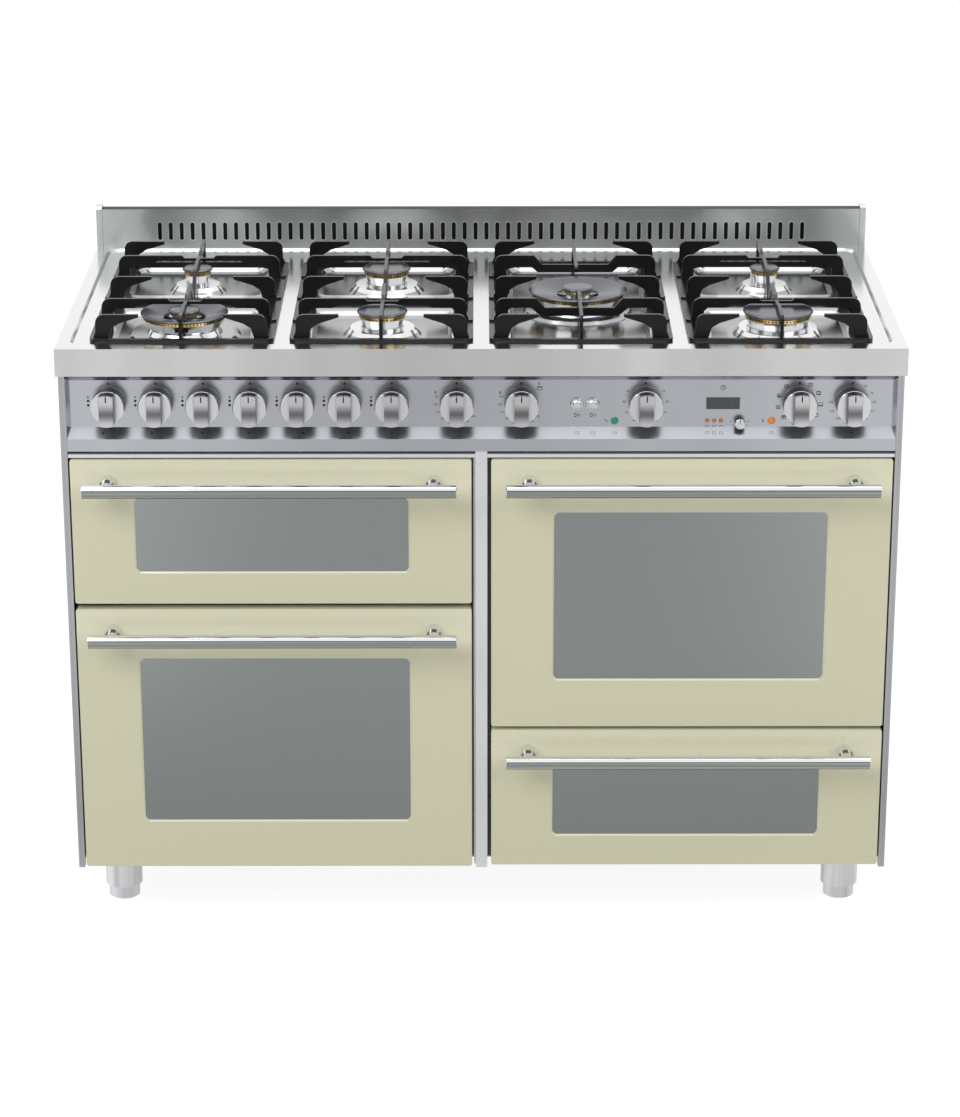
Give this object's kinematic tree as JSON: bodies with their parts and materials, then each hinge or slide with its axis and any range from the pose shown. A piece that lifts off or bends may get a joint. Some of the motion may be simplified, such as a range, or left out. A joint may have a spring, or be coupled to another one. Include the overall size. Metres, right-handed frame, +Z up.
{
  "type": "range cooker",
  "caption": "Free-standing stainless steel range cooker with cream enamelled drop-down doors, a storage drawer, gas burners under cast iron pan supports and a slotted upstand.",
  "frame": {"origin": "on the floor, under the middle of the whole cooker, handles included", "axes": "+X to the right seen from the front, +Y from the front to the back, +Z up"},
  "size_m": [1.2, 0.6495, 0.966],
  "materials": {
    "satin_steel": "satin, brushed along its length",
    "panel_steel": "satin, brushed along X",
    "plain_steel": "plain sheet",
    "cream_enamel": "gloss vitreous enamel",
    "oven_enamel": "dark gloss vitreous enamel",
    "cast_iron": "satin black enamel",
    "burner_cap": "satin black enamel",
    "burner_aluminium": "polished",
    "brass": "satin",
    "chrome": "polished",
    "satin_chrome": "satin",
    "window_glass": "grey mirror-coated",
    "dark_plastic": "matte",
    "lamp_plastic": "clear coloured lenses",
    "element_steel": "dull sheath",
    "seal_rubber": "matte"
  },
  "bodies": {
    "cabinet": {"hob_top": "satin_steel", "upstand": "satin_steel", "side_panels": "satin_steel", "back_panel": "plain_steel", "base_plate": "plain_steel", "front_frame": "oven_enamel", "front_trim": "satin_steel", "control_panel": "panel_steel", "indicators": "lamp_plastic", "gas_train": "brass", "control_switches": "dark_plastic", "rear_electrics": "dark_plastic", "feet": "satin_steel", "grill_cavity": "oven_enamel", "gas_oven_cavity": "oven_enamel", "electric_oven_cavity": "oven_enamel", "oven_racks": "chrome", "oven_seals": "seal_rubber", "heating_elements": "element_steel", "fan_cover": "oven_enamel", "burner_bodies": "burner_aluminium", "burner_rings": "brass", "burner_caps": "burner_cap", "drawer_runners": "plain_steel"},
    "grill_door": {"grill_door_panel": "cream_enamel", "grill_door_glass": "window_glass", "grill_door_liner": "plain_steel", "grill_door_handle": "chrome"},
    "gas_oven_door": {"gas_oven_door_panel": "cream_enamel", "gas_oven_door_glass": "window_glass", "gas_oven_door_liner": "plain_steel", "gas_oven_door_handle": "chrome"},
    "electric_oven_door": {"electric_oven_door_panel": "cream_enamel", "electric_oven_door_glass": "window_glass", "electric_oven_door_liner": "plain_steel", "electric_oven_door_handle": "chrome"},
    "drawer": {"drawer_front": "cream_enamel", "drawer_glass": "window_glass", "drawer_box": "plain_steel", "drawer_handle": "chrome"},
    "knob_gas_1": {"knob_gas_1": "satin_chrome"},
    "knob_gas_2": {"knob_gas_2": "satin_chrome"},
    "knob_gas_3": {"knob_gas_3": "satin_chrome"},
    "knob_gas_4": {"knob_gas_4": "satin_chrome"},
    "knob_gas_5": {"knob_gas_5": "satin_chrome"},
    "knob_gas_6": {"knob_gas_6": "satin_chrome"},
    "knob_gas_7": {"knob_gas_7": "satin_chrome"},
    "knob_gas_oven": {"knob_gas_oven": "satin_chrome"},
    "knob_grill": {"knob_grill": "satin_chrome"},
    "knob_timer": {"knob_timer": "satin_chrome"},
    "knob_selector": {"knob_selector": "satin_chrome"},
    "knob_thermostat": {"knob_thermostat": "satin_chrome"},
    "knob_clock": {"knob_clock": "satin_chrome"},
    "light_button": {"light_button": "satin_chrome"},
    "ignition_button": {"ignition_button": "satin_chrome"},
    "pan_support_1": {"pan_support_1": "cast_iron"},
    "pan_support_2": {"pan_support_2": "cast_iron"},
    "pan_support_3": {"pan_support_3": "cast_iron"},
    "pan_support_4": {"pan_support_4": "cast_iron"},
    "fan_blade": {"fan_blade": "plain_steel"}
  },
  "joints": [
    {"name": "grill_door_hinge", "type": "hinge", "parent": "cabinet", "child": "grill_door", "pos_m": [-0.29975, -0.25825, 0.5295], "axis": [1, 0, 0], "range_deg": [0, 90], "stiffness_Nm_per_rad": 2, "springref_deg": -25.78},
    {"name": "gas_oven_door_hinge", "type": "hinge", "parent": "cabinet", "child": "gas_oven_door", "pos_m": [-0.29975, -0.25825, 0.115], "axis": [1, 0, 0], "range_deg": [0, 90], "stiffness_Nm_per_rad": 5, "springref_deg": -28.65},
    {"name": "electric_oven_door_hinge", "type": "hinge", "parent": "cabinet", "child": "electric_oven_door", "pos_m": [0.29975, -0.25825, 0.338], "axis": [1, 0, 0], "range_deg": [0, 90], "stiffness_Nm_per_rad": 5, "springref_deg": -28.65},
    {"name": "drawer_slide", "type": "slide", "parent": "cabinet", "child": "drawer", "axis": [0, -1, 0], "range_m": [0, 0.28]},
    {"name": "knob_gas_1_turn", "type": "hinge", "parent": "cabinet", "child": "knob_gas_1", "pos_m": [-0.5274, -0.26825, 0.815], "axis": [0, -1, 0], "range_deg": [0, 210]},
    {"name": "knob_gas_2_turn", "type": "hinge", "parent": "cabinet", "child": "knob_gas_2", "pos_m": [-0.4606, -0.26825, 0.815], "axis": [0, -1, 0], "range_deg": [0, 210]},
    {"name": "knob_gas_3_turn", "type": "hinge", "parent": "cabinet", "child": "knob_gas_3", "pos_m": [-0.3938, -0.26825, 0.815], "axis": [0, -1, 0], "range_deg": [0, 210]},
    {"name": "knob_gas_4_turn", "type": "hinge", "parent": "cabinet", "child": "knob_gas_4", "pos_m": [-0.327, -0.26825, 0.815], "axis": [0, -1, 0], "range_deg": [0, 210]},
    {"name": "knob_gas_5_turn", "type": "hinge", "parent": "cabinet", "child": "knob_gas_5", "pos_m": [-0.2602, -0.26825, 0.815], "axis": [0, -1, 0], "range_deg": [0, 210]},
    {"name": "knob_gas_6_turn", "type": "hinge", "parent": "cabinet", "child": "knob_gas_6", "pos_m": [-0.1934, -0.26825, 0.815], "axis": [0, -1, 0], "range_deg": [0, 210]},
    {"name": "knob_gas_7_turn", "type": "hinge", "parent": "cabinet", "child": "knob_gas_7", "pos_m": [-0.1266, -0.26825, 0.815], "axis": [0, -1, 0], "range_deg": [0, 210]},
    {"name": "knob_gas_oven_turn", "type": "hinge", "parent": "cabinet", "child": "knob_gas_oven", "pos_m": [-0.0348, -0.26825, 0.815], "axis": [0, -1, 0], "range_deg": [0, 270]},
    {"name": "knob_grill_turn", "type": "hinge", "parent": "cabinet", "child": "knob_grill", "pos_m": [0.0567, -0.26825, 0.815], "axis": [0, -1, 0], "range_deg": [0, 270]},
    {"name": "knob_timer_turn", "type": "hinge", "parent": "cabinet", "child": "knob_timer", "pos_m": [0.2329, -0.26825, 0.815], "axis": [0, 1, 0], "range_deg": [0, 330]},
    {"name": "knob_selector_turn", "type": "hinge", "parent": "cabinet", "child": "knob_selector", "pos_m": [0.4505, -0.26825, 0.815], "axis": [0, 1, 0], "range_deg": [0, 330]},
    {"name": "knob_thermostat_turn", "type": "hinge", "parent": "cabinet", "child": "knob_thermostat", "pos_m": [0.5255, -0.26825, 0.815], "axis": [0, 1, 0], "range_deg": [0, 290]},
    {"name": "knob_clock_turn", "type": "hinge", "parent": "cabinet", "child": "knob_clock", "pos_m": [0.3666, -0.26225, 0.7865], "axis": [0, 1, 0], "continuous": true},
    {"name": "light_button_push", "type": "slide", "parent": "cabinet", "child": "light_button", "axis": [0, 1, 0], "range_m": [0, 0.003], "stiffness_N_per_m": 300, "springref_m": -0.002},
    {"name": "ignition_button_push", "type": "slide", "parent": "cabinet", "child": "ignition_button", "axis": [0, 1, 0], "range_m": [0, 0.003], "stiffness_N_per_m": 300, "springref_m": -0.002},
    {"name": "pan_support_1_lift", "type": "slide", "parent": "cabinet", "child": "pan_support_1", "axis": [0, 0, 1], "range_m": [0, 0.12]},
    {"name": "pan_support_2_lift", "type": "slide", "parent": "cabinet", "child": "pan_support_2", "axis": [0, 0, 1], "range_m": [0, 0.12]},
    {"name": "pan_support_3_lift", "type": "slide", "parent": "cabinet", "child": "pan_support_3", "axis": [0, 0, 1], "range_m": [0, 0.12]},
    {"name": "pan_support_4_lift", "type": "slide", "parent": "cabinet", "child": "pan_support_4", "axis": [0, 0, 1], "range_m": [0, 0.12]},
    {"name": "fan_spin", "type": "hinge", "parent": "cabinet", "child": "fan_blade", "pos_m": [0.29975, 0.21475, 0.54275], "axis": [0, 1, 0], "continuous": true}
  ]
}
